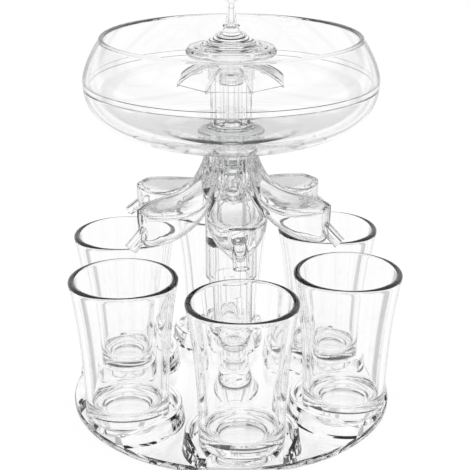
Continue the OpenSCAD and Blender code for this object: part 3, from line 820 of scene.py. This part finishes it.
# %% Sleeve with its ribbed cap
slide_low, slide_top, slide_in_r, slide_r = bowl_z + 8, bowl_z + 23.1, 3.5, 4.6
cap_h, cap_round, flutes, flute_dip = 3, 0.8, 24, 0.28
slide = lathe("valve_slide",
              [(slide_in_r, slide_low), (slide_r - 0.3, slide_low), (slide_r, slide_low + 0.3),
               (slide_r, slide_top), (cap_r, slide_top + 0.3),
               (cap_r, slide_top + cap_h - cap_round)]
              + arc(cap_r - cap_round, slide_top + cap_h - cap_round, cap_round, 0, 90, 6)[1:]
              + [(rod_r + HAIR, slide_top + cap_h), (rod_r + HAIR, slide_top + 0.02),
                 (slide_in_r, slide_top)],
              steps=240)
for v in slide.data.vertices:                               # fine grip flutes round the cap
    r = math.hypot(v.co.x, v.co.y) / MM
    if r > slide_r + 0.05 and v.co.z / MM > slide_top + 0.35:
        dip = flute_dip * max(0.0, math.cos(flutes * math.atan2(v.co.y, v.co.x))) ** 2
        v.co.x, v.co.y = v.co.x * (r - dip) / r, v.co.y * (r - dip) / r
hand_over(slide, "valve", "valve_clear", "valve_sleeve")

# %% Knob disc
knob_r, knob_t, knob_round, cone_h, cone_r = 18.4, 4, 1.6, 7.3, 3
knob_boss_r, knob_bevel, knob_top = 5, 0.4, knob_z + knob_t
ripples, ripple_half, ripple_dip = (0.12, 0.31, 0.5), 0.065, 0.5


def knob_face(f):
    """The disc's upper face from its rim (0) up to the cone's tip (1), with its finger ripples."""
    rim_r = knob_r - 1.1
    r = rim_r - (rim_r - cone_r) * f
    z = knob_top - 0.4 + (cone_h + 0.4) * f ** 1.9
    for ripple in ripples:
        z -= ripple_dip * max(0.0, 1 - ((f - ripple) / ripple_half) ** 2)
    return (r, z)


knob = lathe("knob_plate",
             [(0, knob_z - knob_boss_h), (knob_boss_r - knob_bevel, knob_z - knob_boss_h),
              (knob_boss_r, knob_z - knob_boss_h + knob_bevel), (knob_boss_r, knob_z)]
             + arc(knob_r - knob_round, knob_z + knob_round, knob_round, -90, 60, 12)
             + curve(knob_face, 90) + [(0, knob_top + cone_h)],
             steps=192)
hand_over(knob, "valve", "valve_clear", "knob_disc")

# %% Finial
finial_z, finial_foot_r = knob_top + cone_h, 3.5
neck_tall, slender_r, drop_r, drop_h = 9.4, 1.5, 4.3, 8.6


def slender(f):
    """The finial's neck, from its foot (0) to the drop (1)."""
    return (slender_r + 0.9 * (1 - f) ** 2, finial_z + 1.2 + (neck_tall - 1.2) * f)


def drop(f):
    a = math.pi * f
    return (drop_r * math.sin(a) ** 0.9 * (1 - 0.12 * math.cos(a)),
            finial_z + neck_tall + drop_h * (1 - math.cos(a)) / 2)


finial = lathe("knob_drop",
               [(0, finial_z + HAIR), (finial_foot_r - 0.2, finial_z + HAIR),
                (finial_foot_r, finial_z + 0.5), (finial_foot_r - 0.3, finial_z + 1)]
               + curve(slender, 14) + curve(drop, 40, 0.07, 0.985)
               + [(0, finial_z + neck_tall + drop_h)],
               steps=128)
hand_over(finial, "valve", "valve_clear", "knob_finial")

# %% [markdown]
# ## Cups
# A shot cup is mostly wall and floor: a flared wall with a rounded lip, and a heavy
# base with a shallow hollow under it, which shows as rings when one looks through it.
# One cup is turned about its own axis, then copied to the six seats.

# %% One cup
cup_h, cup_wall, cup_floor, cup_rim_r, cup_foot_r, fillet = 64.6, 2.6, 9.0, 22.5, 17.4, 3.0
foot_h, foot_tuck = 4, 1.3                                  # the side tucks in above the table
punt_r, punt_h, punt_round = 9.0, 1.2, 0.5                  # the shallow hollow underneath
lip_h = cup_h - cup_wall / 2
low_in = cup_floor + fillet


def cup_out(h):
    flare = (cup_rim_r - cup_foot_r) * (h / cup_h) ** 2.4
    return cup_foot_r + flare - foot_tuck * max(0.0, 1 - h / foot_h) ** 2


def cup_side(h):
    return (cup_out(h), base_t + h + (HAIR if h == 0 else 0))


def cup_inside(h):
    return (cup_out(h) - cup_wall, base_t + h)


cup = lathe("shot_cup_1",
            [(0, base_t + punt_h), (punt_r, base_t + punt_h)]
            + arc(punt_r, base_t + punt_h - punt_round, punt_round, 90, 10, 4)
            + [(punt_r + 1.5, base_t + 0.25), (punt_r + 1.9, base_t + HAIR)]
            + curve(cup_side, 12, 0, foot_h) + curve(cup_side, 48, foot_h, lip_h)[1:]
            + arc(cup_out(lip_h) - cup_wall / 2, base_t + lip_h, cup_wall / 2, 8, 172, 14)
            + curve(cup_inside, 44, lip_h, low_in)
            + arc(cup_out(low_in) - cup_wall - fillet, base_t + low_in, fillet, 0, -90, 10)[1:]
            + [(0, base_t + cup_floor)],
            steps=192, at_y=-cup_ring_r)
for k, piece in enumerate(copy_round(cup, "shot_cup"), 1):
    hand_over(piece, f"cup_{k}", "cup_clear", f"cup_{k}")

# %% [markdown]
# ## Camera
# The camera stands where the photographer's stood, found by fitting the rims and the
# base in the photograph. It looks down by about twenty degrees through a long lens.

# %% Camera
look_down, look_aside = 20.41, -4.6                         # degrees
camera_data = bpy.data.cameras.new("camera")
camera_data.sensor_width, camera_data.lens, camera_data.shift_x = 36, 86.17, 0.0081
camera_data.clip_start, camera_data.clip_end = 0.05, 20
camera = bpy.data.objects.new("camera", camera_data)
camera.location = (-0.0360, -0.4474, 0.2417)
camera.rotation_euler = (math.radians(90 - look_down), 0, math.radians(look_aside))
bpy.context.collection.objects.link(camera)
bpy.context.scene.camera = camera
print("camera at", tuple(camera.location))

# %% [markdown]
# ## Floor
# The floor is plain and pale. The camera sees it as clean white with the object's soft
# shadow kept in it: nine tenths of its look is a white glow and one tenth is a matt
# surface. Light that reaches it through the clear plastic passes on into the studio,
# the way light comes up through a glass-topped photographer's table.

# %% Floor
FLOOR_SIZE, FLOOR_Z, GLOW_SHARE = 6, -0.0002, 0.9
bpy.ops.object.select_all(action="DESELECT")
bpy.ops.mesh.primitive_plane_add(size=FLOOR_SIZE, location=(0, 0, FLOOR_Z))
floor = bpy.context.object
floor.name = "studio_floor"
mat = bpy.data.materials.new("floor_white")
mat.use_nodes = True
nodes, links = mat.node_tree.nodes, mat.node_tree.links
shader, out = nodes["Principled BSDF"], nodes["Material Output"]
shader.inputs["Base Color"].default_value = (0.8, 0.8, 0.8, 1)
shader.inputs["Roughness"].default_value = 0.9
glow, clear = nodes.new("ShaderNodeEmission"), nodes.new("ShaderNodeBsdfTransparent")
light, through = nodes.new("ShaderNodeLightPath"), nodes.new("ShaderNodeMath")
pale, see = nodes.new("ShaderNodeMixShader"), nodes.new("ShaderNodeMixShader")
glow.inputs["Strength"].default_value = 1.0
through.operation = "MAXIMUM"
pale.inputs["Fac"].default_value = GLOW_SHARE
links.new(light.outputs["Is Transmission Ray"], through.inputs[0])
links.new(light.outputs["Is Glossy Ray"], through.inputs[1])
links.new(shader.outputs["BSDF"], pale.inputs[1])
links.new(glow.outputs["Emission"], pale.inputs[2])
links.new(through.outputs[0], see.inputs["Fac"])
links.new(pale.outputs["Shader"], see.inputs[1])
links.new(clear.outputs["BSDF"], see.inputs[2])
links.new(see.outputs["Shader"], out.inputs["Surface"])
floor.data.materials.append(mat)

# %% [markdown]
# ## Light
# Clear plastic shows only what stands around it. Photographers light it "bright field":
# white cards all round, with narrow dark gaps between them and a dark band above, so
# that each piece looks through to white and its edges bend the view round to black. The
# world is built that way: eight cards, eight gaps, a dark band from just above the
# horizon and a soft white ceiling over it. The camera, the matt floor and whatever the
# surfaces only mirror see plain white instead.

# %% World helpers
world = bpy.data.worlds.new("studio")
bpy.context.scene.world = world
world.use_nodes = True
nodes, links = world.node_tree.nodes, world.node_tree.links
back = nodes["Background"]


def maths(operation, a, b=None):
    """A Math node on sockets or plain numbers; gives its output socket."""
    node = nodes.new("ShaderNodeMath")
    node.operation = operation
    for i, value in enumerate(v for v in (a, b) if v is not None):
        if isinstance(value, (int, float)):
            node.inputs[i].default_value = value
        else:
            links.new(value, node.inputs[i])
    return node.outputs[0]


def ramp(value, low, high):
    """0 below low and 1 above high, both in degrees, smooth between; value is in radians."""
    node = nodes.new("ShaderNodeMapRange")
    node.interpolation_type = "SMOOTHSTEP"
    links.new(value, node.inputs["Value"])
    node.inputs["From Min"].default_value = math.radians(low)
    node.inputs["From Max"].default_value = math.radians(high)
    return node.outputs["Result"]


# %% World
CARDS, FIRST_CARD = 8, 4                    # how many, and the azimuth of one card's middle
GAP_FROM, GAP_FULL, GAP_DARK = 17, 20, 0.5  # degrees from a card's middle, and how dark a gap is
BAND_FROM, BAND_FULL = 3, 8                 # degrees above the horizon
CEILING_FROM, CEILING_FULL = 22, 28

direction, split = nodes.new("ShaderNodeTexCoord"), nodes.new("ShaderNodeSeparateXYZ")
light = nodes.new("ShaderNodeLightPath")
links.new(direction.outputs["Generated"], split.inputs["Vector"])
x, y, z = split.outputs
azimuth, climb = maths("ARCTAN2", x, y), maths("ARCSINE", z)
past_first = maths("ADD", azimuth, math.radians(360 - FIRST_CARD))
from_card = maths("PINGPONG", past_first, math.pi / CARDS)
gap = maths("MULTIPLY", ramp(from_card, GAP_FROM, GAP_FULL), GAP_DARK)
ceiling = ramp(climb, CEILING_FROM, CEILING_FULL)
band = maths("MULTIPLY", ramp(climb, BAND_FROM, BAND_FULL), maths("SUBTRACT", 1.0, ceiling))
studio = maths("SUBTRACT", 1.0, maths("MAXIMUM", gap, band))
mirrored = maths("SUBTRACT", light.outputs["Is Glossy Ray"], light.outputs["Is Transmission Ray"])
seen = maths("MAXIMUM", studio, mirrored)
for ray in ("Is Camera Ray", "Is Diffuse Ray"):
    seen = maths("MAXIMUM", seen, light.outputs[ray])
links.new(seen, back.inputs["Strength"])
back.inputs["Color"].default_value = (1, 1, 1, 1)
print("world:", len(nodes), "nodes")


# %% Lamps
def lamp(name, size, power, place, aim=(0, 0, 0.08)):
    """A soft round lamp that looks at aim."""
    data = bpy.data.lights.new(name, "AREA")
    data.shape, data.size, data.energy = "DISK", size, power
    obj = bpy.data.objects.new(name, data)
    obj.location = place
    x, y, z = (a - b for a, b in zip(aim, place))
    obj.rotation_euler = (math.atan2(math.hypot(x, y), -z), 0, math.atan2(-x, y))
    obj.visible_glossy = obj.visible_transmission = False       # no white discs in the plastic
    bpy.context.collection.objects.link(obj)


lamp("key", 0.5, 5, (-0.6, -0.5, 0.9))
lamp("fill", 0.8, 3, (0.8, -0.2, 0.7))
lamp("back", 0.6, 3, (0.1, 0.9, 0.8))

# %% [markdown]
# ## Finish
# The view keeps plain colours, and light is allowed enough bounces to get through a dozen
# clear walls.

# %% View settings and finish
scene = bpy.context.scene
scene.view_settings.view_transform = "Standard"
scene.cycles.max_bounces = 40
scene.cycles.transmission_bounces = 36
scene.cycles.glossy_bounces = 12
scene.cycles.transparent_max_bounces = 24
